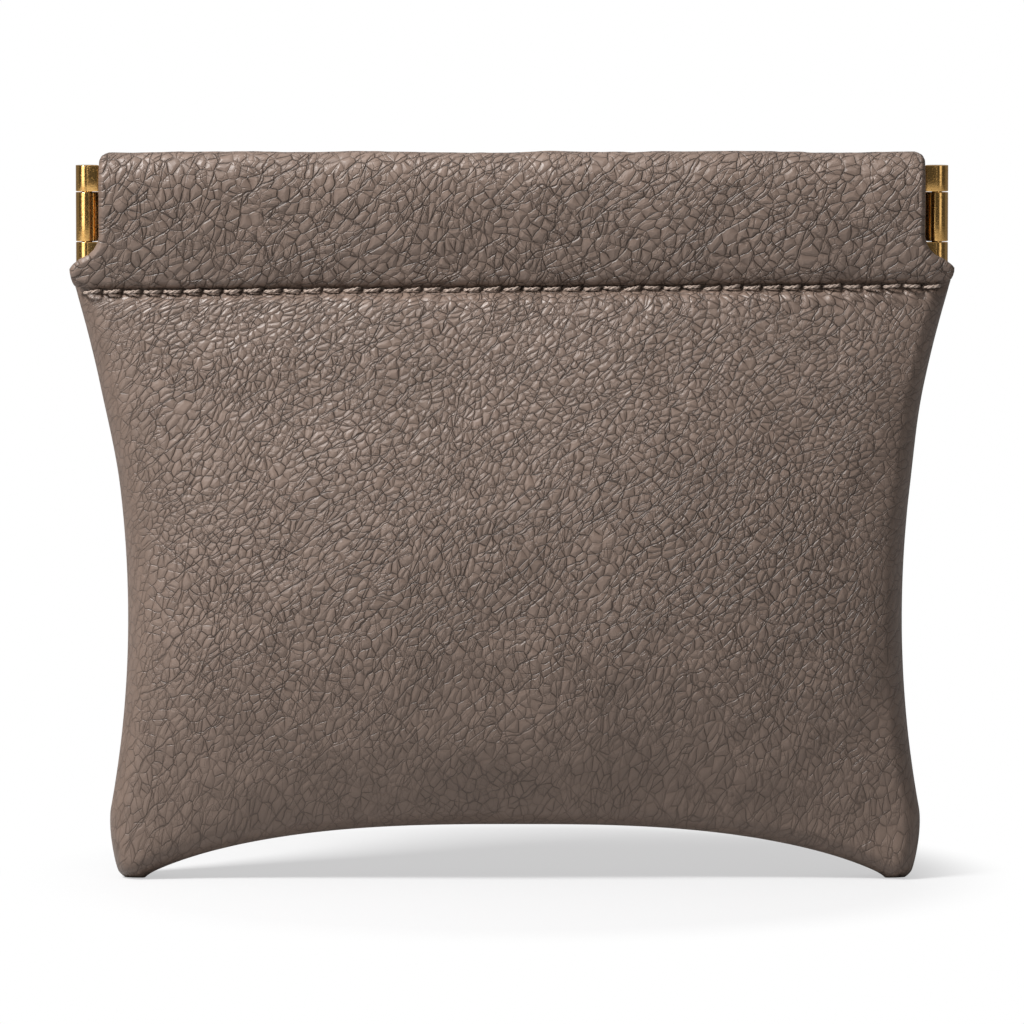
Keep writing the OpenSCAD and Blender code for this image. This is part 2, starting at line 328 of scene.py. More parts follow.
def steel_material():
    """Bright rolled strip steel: fine lines along its length, and a cloud in its gloss."""
    material, shade, surface = make_material("rolled_steel", Metallic=1.0)
    place = shade.node("TexCoord", {}, output=3)
    lines = noise(shade, place.vector("MULTIPLY", (60, 4000, 9000)), 1.0, 3.0)
    cloud = noise(shade, place, 300, 2.0)
    skin = lines.between(0.3, 0.7).mix(colour(0.5, 0.5, 0.51), colour(0.68, 0.68, 0.69))
    connect(surface, Base_Color=skin, Roughness=0.27 + cloud * 0.12,
            Normal=make_bump(shade, lines, 0.00001, 0.5))
    return material


LEATHER = leather_material()
FLESH = flesh_material()
THREAD = thread_material()
BRASS = brass_material()
STEEL = steel_material()

# Mesh helpers

LATTICE = 97


def lumps(x, y, size, seed):
    """Smooth random heights from -1 to 1: seeded values on a lattice, eased between its corners."""
    lattice = np.random.default_rng(seed).uniform(-1, 1, (LATTICE, LATTICE))
    px, py = x / size + 300.3, y / size + 300.7
    i, j = np.floor(px).astype(int), np.floor(py).astype(int)
    fx, fy = px - i, py - j
    fx, fy = fx * fx * (3 - 2 * fx), fy * fy * (3 - 2 * fy)

    def corner(a, b):
        return lattice[(i + a) % LATTICE, (j + b) % LATTICE]

    return ((corner(0, 0) * (1 - fx) + corner(1, 0) * fx) * (1 - fy)
            + (corner(0, 1) * (1 - fx) + corner(1, 1) * fx) * fy)


def eased(t):
    """0 below 0, 1 above 1, and smooth between."""
    t = np.clip(t, 0, 1)
    return t * t * (3 - 2 * t)


def rounded(t):
    """A quarter circle: rises steeply from 0 at 0 and levels out to 1 at 1."""
    return np.sqrt(1 - (1 - np.clip(t, 0, 1)) ** 2)


def unit(vectors):
    return vectors / np.maximum(np.linalg.norm(vectors, axis=-1, keepdims=True), 1e-9)


def facing_out(points, faces):
    """The quads, turned round if the volume that they enclose comes out negative."""
    a, b, c, d = (points[faces[:, k]] for k in range(4))
    volume = (a * np.cross(b, c)).sum() + (a * np.cross(c, d)).sum()
    return faces[:, ::-1] if volume < 0 else faces


def border(n, m):
    """Numbers of the points round an n by m grid, as one closed loop."""
    number = np.arange(n * m).reshape(n, m)
    return np.concatenate([number[0, :-1], number[:-1, -1], number[-1, :0:-1], number[:0:-1, 0]])


def quads(n, m, first=0):
    """The faces of an n by m grid of points that are numbered from first."""
    number = np.arange(n * m).reshape(n, m) + first
    corners = [number[:-1, :-1], number[:-1, 1:], number[1:, 1:], number[1:, :-1]]
    return np.stack(corners, -1).reshape(-1, 4)


def loft(points, first=0, closed=False):
    """Quads between rings of points (rings, around, 3); closed joins the last ring to the first."""
    rings, around = points.shape[:2]
    number = np.arange(rings * around).reshape(rings, around) + first
    after = np.roll(number, -1, 1)
    if closed:
        number, after = (np.concatenate([part, part[:1]]) for part in (number, after))
    faces = np.stack([number[:-1], number[1:], after[1:], after[:-1]], -1).reshape(-1, 4)
    return facing_out(points.reshape(-1, 3), faces - first) + first


def make_mesh(name, points, faces, material, slot, smooth=True, **attributes):
    """A mesh object from points in millimetres, with attributes of its points. slot is not used."""
    mesh = bpy.data.meshes.new(name)
    mesh.from_pydata((points * MM).tolist(), [], faces)
    for title, values in attributes.items():
        kind, field = ("FLOAT_VECTOR", "vector") if values.ndim == 2 else ("FLOAT", "value")
        mesh.attributes.new(title, kind, "POINT").data.foreach_set(
            field, values.astype(np.float32).ravel())
    if smooth:
        mesh.shade_smooth()
    piece = add_object(name, mesh)
    mesh.materials.append(material)
    return piece


RIM_ANGLES = np.radians([45, 90, 135])


def leather_shell(name, outer, inner, sheet, relief, side, flat_row, flat_columns=(), bulge=1.0):
    """A sheet with thickness between two grids of points (x, depth, z), closed by a rounded rim.

    The rim's points lie on half a circle from the outer border to the inner one, which bulges
    outwards along the direction square to the border and to the thickness. It doesn't bulge on the
    flat row and the flat columns, where another piece joins on, and its edge is sharp there. The
    two ends of the flat row take the direction of the border beside it, so that the corner stays
    round.
    """
    n, m = outer.shape[:2]
    loop = border(n, m)
    first, last = outer.reshape(-1, 3)[loop], inner.reshape(-1, 3)[loop]
    middle, half = (first + last) / 2, (first - last) / 2
    along = unit(np.roll(first, -1, 0) - np.roll(first, 1, 0))
    outwards = unit(np.cross(along, unit(half)))
    inside = outer[1:-1, 1:-1].reshape(-1, 3).mean(0)
    if ((first - inside) * outwards).sum() < 0:
        outwards = -outwards

    columns = loop % m
    free = np.ones(len(loop))
    for column in flat_columns:
        free[columns == column % m] = 0
    on_row = loop // m == flat_row % n
    ends = on_row & ~(np.roll(on_row, 1) & np.roll(on_row, -1)) & (free > 0)
    beside = np.where(np.roll(on_row, 1), -1, 1)
    outwards[ends] = outwards[(np.arange(len(loop)) - beside)[ends] % len(loop)]
    free[on_row & ~ends] = 0

    reach = (np.linalg.norm(half, axis=1) * free * bulge)[:, None]
    rings = [middle + half * math.cos(a) + outwards * reach * math.sin(a) for a in RIM_ANGLES]
    to_side = np.array([1, side, 1])
    points = np.concatenate([outer.reshape(-1, 3), inner.reshape(-1, 3), *rings]) * to_side
    count, size = n * m, len(loop)
    loops = [loop, *(2 * count + k * size + np.arange(size) for k in range(len(rings))),
             loop + count]
    rim = np.concatenate([np.stack([a, b, np.roll(b, -1), np.roll(a, -1)], -1)
                          for a, b in zip(loops, loops[1:])])
    face, back = quads(n, m), quads(n, m, count)[:, ::-1]
    faces = facing_out(points, np.concatenate([face, back, rim]))
    sheets, reliefs = sheet.reshape(-1, 3), relief.ravel()
    piece = make_mesh(
        name, points, faces.tolist(), LEATHER, "leather",
        sheet=np.concatenate([sheets, sheets] + [sheets[loop]] * len(rings)),
        relief=np.concatenate([reliefs, reliefs] + [reliefs[loop] * 0.5] * len(rings)))
    piece.data.materials.append(FLESH)
    lining = np.zeros(len(faces), np.int32)
    lining[len(face):len(face) + len(back)] = 1
    piece.data.polygons.foreach_set("material_index", lining)
    if (free == 0).any():
        sharpen(piece, first[free == 0] * to_side, last[free == 0] * to_side)
    return piece


def points_of(piece):
    """The places of a piece's points, in millimetres."""
    places = np.empty(len(piece.data.vertices) * 3)
    piece.data.vertices.foreach_get("co", places)
    return places.reshape(-1, 3) / MM


def sharpen(piece, *groups):
    """Marks the edges between two points of one group as sharp, so that a cut looks crisp."""
    mesh = piece.data
    places = np.round(points_of(piece), 4)
    ends = np.empty(len(mesh.edges) * 2, np.int32)
    mesh.edges.foreach_get("vertices", ends)
    ends = ends.reshape(-1, 2)
    sharp = np.zeros(len(ends), bool)
    for group in groups:
        wanted = {tuple(p) for p in np.round(group, 4).tolist()}
        inside = np.array([tuple(p) in wanted for p in places.tolist()])
        sharp |= inside[ends].all(1)
    mesh.attributes.new("sharp_edge", "BOOLEAN", "EDGE").data.foreach_set("value", sharp)


def span_weight(x):
    """How far a point of a span has bent: evenly from 0 at the middle part to 1 at the leaf.

    An even rise of the turn bends the span to a parabola.
    """
    return np.clip((np.abs(x) - MIDDLE_X) / (LEAF_X - MIDDLE_X), 0, 1)


def end_weight(x):
    """How far a point of an end has turned: quickly from 0 at the span's cut to 1 beyond it."""
    return 1 - (1 - np.clip((np.abs(x) - LEAF_X) / 1.6, 0, 1)) ** 3


def join_frame(piece, face, stretch):
    """Attaches a piece of the middle stretch to its face's mouth_middle body.

    A piece of any other stretch isn't made to move: only its transform is baked into its mesh.
    """
    if stretch == "middle":
        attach(piece, f"{face}_mouth_middle")
        return
    hand = stretch.split("_")[0]
    sign = -1 if hand == "left" else 1
    x = points_of(piece)[:, 0]
    if stretch.endswith("end"):
        sign * 0.042
        sign * 0.044
        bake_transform(piece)
    else:
        sign * 0.00815
        sign * 0.042
        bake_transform(piece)


# Casing

FACE_ROWS, FOLD_ROWS, HEM_ROWS = 60, 49, 33
FACE_DEPTH, SWELL = 2.7, 1.8
FOLD_DEPTH, FOLD_R, FOLD_H = 2.275, 2.225, 4
HEM_DEPTH, HEM_Z = 0.05, 66.2
CASING_COLUMNS = {"middle": 55, "left": 113, "right": 113, "left_end": 34, "right_end": 34}
CUT_COLUMNS = {"middle": (0, -1), "left": (0, -1), "right": (0, -1),
               "left_end": (-1,), "right_end": (0,)}

# The outline of the casing's end: how far out the shoulder reaches at each height
SHOULDER_Z = [69.15, 69.7, 70.6, 71.4, 71.9, 72.4, 72.8, 73.5, 74.3, 75.2, 90]
SHOULDER_X = [51.05, 51.15, 51.4, 51.55, 51.1, 50.2, 49.4, 48.7, 48.25, 48.0, 48.0]


def casing_profile():
    """The grain side of the folded leather, from the stitch line over the fold and down inside.

    A rounding of 0.75 by 1.1 mm leads out of the stitch line, the face swells by a quarter sine up
    to the fold, the fold is half an ellipse, and the hem runs down inside to its raw edge.
    Returns depth and z, about 0.25 mm apart.
    """
    rise = np.linspace(0, 1, FACE_ROWS)
    z = STITCH_Z + rise * (SWELL_TOP - STITCH_Z)
    depth = (FACE_DEPTH + SWELL * np.sin(rise * math.pi / 2)
             - 0.75 * (1 - rounded((z - STITCH_Z) / 1.1)))
    turn = np.radians(np.linspace(0, 180, FOLD_ROWS + 1))[1:]
    fold_depth, fold_z = FOLD_DEPTH + FOLD_R * np.cos(turn), SWELL_TOP + FOLD_H * np.sin(turn)
    hem_z = np.linspace(SWELL_TOP, HEM_Z, HEM_ROWS + 1)[1:]
    return (np.concatenate([depth, fold_depth, np.full(HEM_ROWS, HEM_DEPTH)]),
            np.concatenate([z, fold_z, hem_z]))


def seam_rise(x):
    """The stitch line isn't quite level: it climbs 0.7 mm from the left end to the right."""
    return 0.35 * (1 + np.clip(x / 51, -1, 1))


def casing_piece(name, face, side, stretch):
    """One stretch of the casing: the profile carried along x, on the ends to the shoulder."""
    depth, z = casing_profile()
    row = np.arange(len(z))
    on_face, on_hem = row < FACE_ROWS, row >= FACE_ROWS + FOLD_ROWS
    step = np.stack([np.gradient(depth), np.gradient(z)], -1)
    step /= np.linalg.norm(step, axis=1, keepdims=True)
    along = np.concatenate([[0], np.cumsum(np.hypot(np.diff(depth), np.diff(z)))])

    # The leather is pared where it is folded in. By the stitches its inner face keeps 0.92 mm from
    # the plane between front and rear.
    thickness = np.interp(along, [0, 14, 20, 60], [1.0, 1.0, 0.8, 0.8])
    inner_depth = depth - thickness * step[:, 1]
    inner_z = z + thickness * step[:, 0]
    low = on_face & (z < 72)
    inner_depth[low] = np.maximum(inner_depth[low], 0.92)
    inner_z[low] = z[low]

    # An end stops 0.45 mm short of its outline, which the rim's bulge fills, and the fold's corner
    # is rounded off
    hand = -1 if "left" in stretch else 1
    if stretch == "middle":
        start, stop = -MIDDLE_X, np.full(len(z), MIDDLE_X)
    elif stretch.endswith("end"):
        start = LEAF_X
        stop = np.where(on_face, np.interp(z, SHOULDER_Z, SHOULDER_X), CASING_X) - 0.45
        stop -= 0.5 * (1 - rounded((TOP_Z - z) / 0.7)) * ~on_hem
    else:
        start, stop = MIDDLE_X, np.full(len(z), LEAF_X)
    columns = CASING_COLUMNS[stretch]
    share = np.linspace(0, 1, columns)[None, :]
    x = (start + share * (stop[:, None] - start)) * hand
    if hand < 0:
        x = x[:, ::-1]

    def across(values):
        """One value a row, repeated along x."""
        return np.repeat(values[:, None], columns, 1)

    rise = seam_rise(x) * across(eased(1 - (z - STITCH_Z) / 3) * on_face)
    outer = np.stack([x, across(depth), across(z) + rise], -1)
    inner = np.stack([x, across(inner_depth), across(inner_z) + rise], -1)

    # Uneven leather, drawn in at the needle holes and pressed flat at the shoulder's tip
    run = across(along)
    uneven = (0.13 * lumps(x, run, 7.0, 11) + 0.07 * lumps(x, run, 2.6, 12)
              + 0.035 * lumps(x, run, 1.1, 13))
    holes = np.cos(2 * math.pi * x / STITCH_PITCH) * np.exp(-(run / 1.3) ** 2)
    outside = (1 - eased((run - 20) / 3)) * eased(run / 0.6)
    tip = eased((np.abs(x) - 48.2) / 3.2) * across((z < 75) & on_face)
    push = uneven * outside + 0.1 * holes - 0.35 * tip
    normal = np.stack([np.zeros_like(x), across(step[:, 1]), across(-step[:, 0])], -1)
    outer = outer + normal * push[..., None]
    inner = inner + normal * (push * across(along < 24))[..., None] * 0.9

    sheet = np.stack([0.74 * x + 400, 0.74 * run + 300, np.full_like(x, 3.0 * side)], -1)
    relief = 0.75 + 0.25 * eased(run / 2)
    piece = leather_shell(name, outer, inner, sheet, relief, side, 0, CUT_COLUMNS[stretch])
    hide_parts(f"{face}_casing_{stretch}")
    join_frame(piece, face, stretch)


for face, side in FACES:
    for stretch in STRETCHES:
        casing_piece(f"{face}_folded_leather_{stretch}", face, side, stretch)

# Pouch

POUCH_W, POUCH_H, WAIST_W, WAIST_Z, BASE_W = 102.0, 69.5, 90.6, 31.0, 98.4
CORNER_H, CORNER_IN, TOE_IN = 8.2, 2.9, 0.5
ARCH_X, ARCH_H, FOOT = 44.3, 6.3, 0.35
SEAM_DEPTH, BELLY, FULLNESS, CORNER_SWELL = 2.0, 7.6, 1.4, 1.2
PANEL_COLUMNS, PANEL_ROWS = 261, 172


def half_width(z):
    """Half the pouch's width at z: two parabolas from the waist, drawn in at the round corner."""
    above = (POUCH_W - WAIST_W) / 2 * ((z - WAIST_Z) / (POUCH_H - WAIST_Z)) ** 2
    below = (BASE_W - WAIST_W) / 2 * ((WAIST_Z - z) / WAIST_Z) ** 2
    cut = CORNER_IN * np.clip(1 - z / CORNER_H, 0, 1) ** 1.6 + TOE_IN * np.clip(1 - z, 0, 1) ** 2
    return WAIST_W / 2 + np.where(z > WAIST_Z, above, below) - cut


def lower_edge(x):
    """The lower edge's height at x: an arch that falls to the floor and flattens at the corner."""
    share = np.abs(x) / ARCH_X
    return np.maximum(0, ARCH_H * (1 - share ** 2.8) - FOOT * share ** 12)


def mouth_depth_open():
    """Where the casing's lower edge is with the mouth fully open: x and depth, from the middle.

    Each point is turned at the end's bend by its weight there, and then at the span's bend.
    """
    x = np.linspace(0, 51.4, 240)
    depth = np.full_like(x, SEAM_DEPTH)
    turn = end_weight(x) * END_TURN
    dx, dy = x - LEAF_X, -depth
    x1 = LEAF_X + dx * np.cos(turn) - dy * np.sin(turn)
    y1 = dx * np.sin(turn) + dy * np.cos(turn)
    turn = span_weight(x) * SPAN_TURN
    dx = x1 - MIDDLE_X
    x2 = MIDDLE_X + dx * np.cos(turn) - y1 * np.sin(turn)
    y2 = dx * np.sin(turn) + y1 * np.cos(turn)
    return x2, OPENING - y2


def length_along(points, axis):
    """How far each point of a grid lies along its row or column from the first one."""
    steps = np.linalg.norm(np.diff(points, axis=axis), axis=-1)
    nothing = np.zeros_like(np.take(steps, [0], axis))
    return np.concatenate([nothing, np.cumsum(steps, axis)], axis)


def panel_piece(name, face, side):
    """One leather panel of the pouch.

    Its grid runs across (u from -1 to 1) and up (v from 0 at the lower edge to 1 at the stitch
    line), closer together near the edges. Depth is the turned edge's quarter round, plus a belly
    that rises steeply below the stitches and falls away more slowly, plus fullness just under the
    stitches, which pinch it in again.
    """
    t = np.linspace(-1, 1, PANEL_COLUMNS)
    u = (0.72 * t + 0.28 * np.sin(t * math.pi / 2))[None, :]
    s = np.linspace(0, 1, PANEL_ROWS)
    v = (0.62 * s + 0.38 * (1 - np.cos(s * math.pi)) / 2)[:, None]
    low = lower_edge(u * half_width(np.zeros(1)))
    top = POUCH_H + seam_rise(51 * u)
    z = low + v * (top - low)
    x = u * half_width(z)
    below = top - z
    from_side = (1 - np.abs(u)) * half_width(z)
    from_low = z - low

    across = np.maximum(0, 1 - np.abs(u) ** 2.2) ** 0.55
    upwards = np.maximum(0, np.sin(math.pi * v ** 0.85)) ** 0.75
    corner = np.exp(-((1 - np.abs(u)) / 0.14) ** 2 - (v / 0.07) ** 2)
    depth = (SEAM_DEPTH + BELLY * across * upwards + FULLNESS * v ** 5 * across
             + CORNER_SWELL * corner)
    depth = depth - (0.5 + 1.25 * across) * (1 - rounded((below - 0.85) / 1.5))

    # Uneven leather: large and small lumps on the belly, fine ones by the edges, and puckers
    # between the needle holes
    uneven = (0.45 * lumps(x, z, 24.0, 1) + 0.25 * lumps(x, z, 11.0, 2)
              + 0.12 * lumps(x, z, 5.0, 3) + 0.06 * lumps(x, z, 2.2, 4)
              + 0.03 * lumps(x, z, 1.1, 5))
    calm = eased(from_side / 5) * eased(from_low / 5) * eased(below / 3)
    fine = 0.05 * lumps(x, z, 1.6, 6) + 0.04 * lumps(x, z, 3.1, 7)
    puckers = np.cos(2 * math.pi * x / STITCH_PITCH) * np.exp(-((below - 1.2) / 1.3) ** 2)
    depth = depth + uneven * calm + fine * (1 - calm) + 0.16 * puckers * across ** 0.3

    # The outer face is turned in at the edges. The inner faces of both panels meet in the hidden
    # seam allowance, and part inside it to leave the leather 1 mm thick.
    x = x + 0.35 * eased((58 - z) / 12)
    edge = rounded(from_side / 2.3 + 0.05) * rounded(from_low / 2.3 + 0.05)
    outer_depth = depth * edge
    parted = eased((np.minimum(from_side, from_low) - 3.6) / 2)
    inner_depth = 0.005 + parted * (depth - 1.0)
    inner_depth = np.minimum(inner_depth, np.maximum(outer_depth - 0.35, 0.005))
    shift = 0.35 * (1 - eased(from_side / 1.2))
    rise = 0.35 * (1 - eased(from_low / 1.2))
    outer = np.stack([x, outer_depth, z], -1)
    inner = np.stack([x - np.sign(x) * shift, inner_depth, z + rise], -1)

    # The grain's coordinates are lengths along the leather itself, from the middle and from the
    # stitch line. The grain grows larger towards the lower edge.
    over = length_along(outer, 1)
    over = over - over[:, PANEL_COLUMNS // 2:PANEL_COLUMNS // 2 + 1]
    down = length_along(outer, 0)
    down = down - down[-1:, :]
    sheet = np.stack([over * 0.92 + 400, down * (1 - 0.16 * (1 - v) ** 2) + 300,
                      np.full_like(x, 3.0 * side)], -1)
    relief = 0.42 + 0.58 * eased(from_side / 9) * eased(from_low / 34)
    relief = relief * (0.4 + 0.6 * eased(np.minimum(from_side, from_low) / 2.5))
    piece = leather_shell(name, outer, inner, sheet, relief, side, -1, bulge=0.35)

    # How far each point would follow the casing's opening is worked out, less towards the sides and
    # lower edge, but nothing applies it: the piece's transform is only baked into its mesh
    open_x, open_depth = mouth_depth_open()
    places = points_of(piece)
    place_z = np.clip(places[:, 2], 0, POUCH_H)
    place_u = np.clip(places[:, 0] / half_width(place_z), -1, 1)
    moved = np.interp(np.abs(place_u) * 51, open_x, open_depth) - SEAM_DEPTH
    follow = np.clip(moved / OPENING, 0, 1)
    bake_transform(piece)
    follow * eased((place_z / POUCH_H - 0.1) / 0.9) ** 0.9
    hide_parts(f"{face}_panel")


for face, side in FACES:
    panel_piece(f"{face}_belly_leather", face, side)

# Thread

PLY_R, PLY_OFFSET, PLY_SIDES = 0.125, 0.095, 6
STITCHES = 43


def twisted(centre, first, second, turns):
    """Two plies wound round each centre line, offset from it in the plane of first and second."""
    count, samples = centre.shape[:2]
    phase = (np.linspace(0, turns * 2 * math.pi, samples)[None, :, None]
             + np.arange(count)[:, None, None] * 0.9)
    return np.concatenate([
        centre + PLY_OFFSET * (np.cos(phase + start) * first + np.sin(phase + start) * second)
        for start in (0, math.pi)])


def thread_piece(name, lines):
    """Closed round plies along many lines at once, which are (count, samples, 3)."""
    count, samples = lines.shape[:2]
    forward = unit(np.gradient(lines, axis=1))
    aside = unit(np.cross(forward, np.array([0.05, 0.1, 1.0])))
    up = np.cross(forward, aside)
    angle = np.arange(PLY_SIDES) / PLY_SIDES * 2 * math.pi
    offset = aside[:, :, None] * np.cos(angle)[:, None] + up[:, :, None] * np.sin(angle)[:, None]
    points = (lines[:, :, None] + offset * PLY_R).reshape(-1, 3)
    number = np.arange(count * samples * PLY_SIDES).reshape(count, samples, PLY_SIDES)
    after = np.roll(number, -1, 2)
    corners = [number[:, :-1], number[:, 1:], after[:, 1:], after[:, :-1]]
    faces = facing_out(points, np.stack(corners, -1).reshape(-1, 4))
    caps = np.concatenate([number[:, 0], number[:, -1, ::-1]])
    along = length_along(lines, 1) + np.arange(count)[:, None] * 3.7
    along = np.repeat(along[:, :, None], PLY_SIDES, 2)
    turns = np.broadcast_to(np.arange(PLY_SIDES) / PLY_SIDES, along.shape)
    sheet = np.stack([along, turns, np.zeros_like(along)], -1).reshape(-1, 3)
    return make_mesh(name, points, faces.tolist() + caps.tolist(), THREAD, "thread", sheet=sheet)


def stitch_row(name, face, side, stretch):
    """The stitches of one stretch, in the crease under the casing.

    Each rises out of its hole, bows over the leather and dips into the next hole. Each has a slant
    and a height of its own.
    """
    x = np.arange(-(STITCHES // 2), STITCHES // 2 + 1) * STITCH_PITCH
    chosen = {"middle": np.abs(x) <= MIDDLE_X, "left": (x < -MIDDLE_X) & (x > -LEAF_X),
              "right": (x > MIDDLE_X) & (x < LEAF_X), "left_end": x < -LEAF_X,
              "right_end": x > LEAF_X}[stretch]
    x = x[chosen][:, None]
    rng = np.random.default_rng(17 if side < 0 else 18)
    slant = rng.normal(0.1, 0.05, STITCHES)[chosen][:, None]
    lift = rng.normal(0, 0.04, STITCHES)[chosen][:, None]
    t = np.linspace(-1, 1, 13)
    bow = 1 - np.abs(t) ** 5
    centre = np.stack([
        x + t * (STITCH_PITCH / 2 - 0.17),
        np.broadcast_to(1.6 + 1.4 * bow, (len(x), len(t))),
        STITCH_Z - 0.24 + (seam_rise(x) + lift) + slant * t], -1)
    lines = twisted(centre, np.array([0, 1.0, 0]), np.array([0, 0, 1.0]), 1.6)
    piece = thread_piece(name, lines * np.array([1, side, 1]))
    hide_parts(f"{face}_hem_stitches_{stretch}")
    join_frame(piece, face, stretch)


for face, side in FACES:
    for stretch in STRETCHES:
        stitch_row(f"{face}_stitch_row_{stretch}", face, side, stretch)

SEAM_PITCH, SEAM_IN = 3.2, 2.2


def seam_row():
    """The hidden seam inside the turned edge: short twisted stitches through both panels."""
    z = 9 + SEAM_PITCH * np.arange(18)
    x = half_width(z) - SEAM_IN
    low_x = SEAM_PITCH * np.arange(-10, 11)
    places = np.concatenate([
        np.stack([x, z], -1), np.stack([-x, z], -1),
        np.stack([low_x, lower_edge(low_x) + SEAM_IN], -1)])
    t = np.linspace(-1, 1, 5)
    centre = np.stack([places[:, :1] + 0 * t, np.broadcast_to(0.9 * t, (len(places), len(t))),
                       places[:, 1:] + 0 * t], -1)
    lines = twisted(centre, np.array([1.0, 0, 0]), np.array([0, 0, 1.0]), 0.5)
    piece = thread_piece("hidden_seam_thread", lines)
    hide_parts("seam_stitches")
    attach(piece, "pouch")


seam_row()

# Strips and hinges

BAND_COLUMNS, BAND_SIDES = 40, 12
BAND_DEPTH, BAND_HALF = 1.475, 0.175
SHEET_OUT, SHEET_IN, SHEET_EASE = 1.3, 0.9, 0.08
LEAF_END, TONGUE_START = 47.95, 47.87
KNUCKLES = {"front": ((STRIP_LOW, 74.63), (80.57, STRIP_TOP)), "rear": ((74.75, 80.45),)}
BORES = {"front": 0.6, "rear": 0.85}


def spring_piece(name, face, side, stretch):
    """One stretch of a spring strip: a flat band, 12 by 0.35 mm, with its long edges rounded."""
    hand = -1 if stretch == "left" else 1
    start, stop = (-MIDDLE_X, MIDDLE_X) if stretch == "middle" else (MIDDLE_X, LEAF_X)
    x = np.sort(hand * np.linspace(start, stop, BAND_COLUMNS))
    turn = np.radians(np.arange(0, 360, 360 // BAND_SIDES) + 15)
    depth = BAND_DEPTH + BAND_HALF * np.clip(np.cos(turn) * 1.3, -1, 1)
    half_height = (STRIP_TOP - STRIP_LOW) / 2 - BAND_HALF * (1 - np.abs(np.sin(turn)))
    z = (STRIP_LOW + STRIP_TOP) / 2 + np.sign(np.sin(turn)) * half_height
    shape = (BAND_COLUMNS, BAND_SIDES)
    points = np.stack([np.repeat(x[:, None], BAND_SIDES, 1),
                       np.broadcast_to(side * depth, shape), np.broadcast_to(z, shape)], -1)
    number = np.arange(BAND_COLUMNS * BAND_SIDES).reshape(shape)
    caps = [number[0].tolist(), number[-1, ::-1].tolist()]
    piece = make_mesh(name, points.reshape(-1, 3), loft(points).tolist() + caps,
                      STEEL, "spring_steel", smooth=False)
    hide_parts(f"{face}_spring_strip_{stretch}")
    join_frame(piece, face, stretch)


for face, side in FACES:
    for stretch in ("middle", "left", "right"):
        spring_piece(f"{face}_spring_band_{stretch}", face, side, stretch)


def knuckle_rings(low, high, bore):
    """A rolled knuckle: a tube's section, eased at its two ends, turned round the pin's axis."""
    ease = 0.06
    bend = np.radians(np.linspace(0, 90, 5))
    corner_r, corner_z = BARREL_R - ease + ease * np.sin(bend), ease - ease * np.cos(bend)
    end_r, middle = [bore, bore + 0.03, BARREL_R - 0.1], (low + high) / 2
    radius = np.concatenate([end_r, corner_r, [BARREL_R], corner_r[::-1], end_r[::-1], [bore]])
    z = np.concatenate([[low] * 3, low + corner_z, [middle], high - corner_z[::-1],
                        [high] * 3, [middle]])
    turn = np.linspace(0, 2 * math.pi, 72, endpoint=False)
    return np.stack([PIN_X + radius[:, None] * np.cos(turn), radius[:, None] * np.sin(turn),
                     np.repeat(z[:, None], len(turn), 1)], -1)


def plate_rings(start, stop, low, high):
    """Sheet brass 0.4 mm thick on the leaf's outer side, with its edges and ends eased."""
    ease = SHEET_EASE
    bend = np.radians(np.linspace(0, 90, 4))
    centres = [(stop - ease, SHEET_OUT - ease), (start + ease, SHEET_OUT - ease),
               (start + ease, SHEET_IN + ease), (stop - ease, SHEET_IN + ease)]
    shape = np.array([(x + ease * math.cos(a + k * math.pi / 2),
                       depth + ease * math.sin(a + k * math.pi / 2))
                      for k, (x, depth) in enumerate(centres) for a in bend])
    inset = unit(np.array([(start + stop) / 2, (SHEET_OUT + SHEET_IN) / 2]) - shape)
    levels = [(low, 0.1), (low, ease), (low + 0.03, 0.03), (low + ease, 0),
              (high - ease, 0), (high - 0.03, 0.03), (high, ease), (high, 0.1)]
    return np.stack([np.concatenate([shape + inset * amount, np.full((len(shape), 1), z)], -1)
                     for z, amount in levels])


def leaf_piece(name, face, side, hand):
    """A hinge leaf: the sheet along the strip, and its knuckles with the tongues they end in.

    The front leaves have a knuckle below and one above, and the rear leaves one between them.
    """
    sign = -1 if hand == "left" else 1
    parts = [(plate_rings(LEAF_X, LEAF_END, STRIP_LOW, STRIP_TOP), False)]
    for low, high in KNUCKLES[face]:
        parts.append((knuckle_rings(low, high, BORES[face]), True))
        parts.append((plate_rings(TONGUE_START, PIN_X, low, high), False))
    points, faces = [], []
    count = 0
    for rings, is_knuckle in parts:
        rings = rings * np.array([sign, side, 1])
        number = np.arange(count, count + rings.shape[0] * rings.shape[1])
        faces += loft(rings, count, is_knuckle).tolist()
        if not is_knuckle:
            ends = [number[:rings.shape[1]].tolist(), number[::-1][:rings.shape[1]].tolist()]
            faces += ends if sign * side > 0 else [end[::-1] for end in ends]
        points.append(rings.reshape(-1, 3))
        count += len(number)
    piece = make_mesh(name, np.concatenate(points), faces, BRASS, "polished_brass")
    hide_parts(f"{face}_{hand}_hinge_leaf")
    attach(piece, f"{face}_{hand}_hinge")


for face, side in FACES:
    for hand in ("left", "right"):
        leaf_piece(f"{face}_{hand}_rolled_leaf", face, side, hand)


def dress(node, material):
    """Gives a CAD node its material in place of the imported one."""
    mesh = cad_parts[node].data
    mesh.materials.clear()
    mesh.materials.append(material)


for hand in ("left", "right"):
    dress(f"{hand}_hinge_pin", BRASS)
    for face, side in FACES:
        dress(f"{face}_{hand}_rivets", STEEL)
        dress(f"{face}_spring_strip_{hand}_end", STEEL)

# Floor and light

FLOOR_HALF = 0.5

# Bright screens for the brass to mirror: the angles between which each stands, measured round the
# purse from the camera's side, how soft its edges are, both in degrees, and its strength
SCREENS = ((-52, -24, 4, 2.4), (24, 44, 4, 0.9), (-112, -90, 8, 0.12), (90, 112, 8, 0.12))


